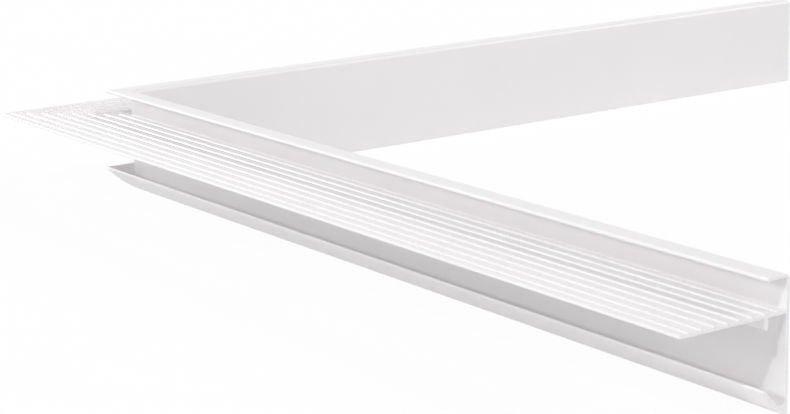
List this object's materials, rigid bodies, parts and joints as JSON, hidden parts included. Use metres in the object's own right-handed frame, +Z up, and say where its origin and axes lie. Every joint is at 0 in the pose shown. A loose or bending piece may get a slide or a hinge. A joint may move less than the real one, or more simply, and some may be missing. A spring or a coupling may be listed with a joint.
{
  "type": "roof edge trim inside corner",
  "caption": "Inside corner piece for a roof edge trim, mitred from coated aluminium section with a tall outer face, nosed top flange, ribbed roof flange and curved drip lip.",
  "frame": {"origin": "bottom end of the upright edge where the two outer faces meet in the corner", "axes": "+Z up; +X along the left leg towards its sawn end; +Y along the right leg towards its sawn end; the outer faces look towards +Y and +X, and the roof lies behind them"},
  "size_m": [0.61, 0.61, 0.06],
  "materials": {
    "white_coat": "matt white coating on extruded aluminium"
  },
  "bodies": {
    "root": {"left_leg": "white_coat", "right_leg": "white_coat"}
  },
  "joints": []
}
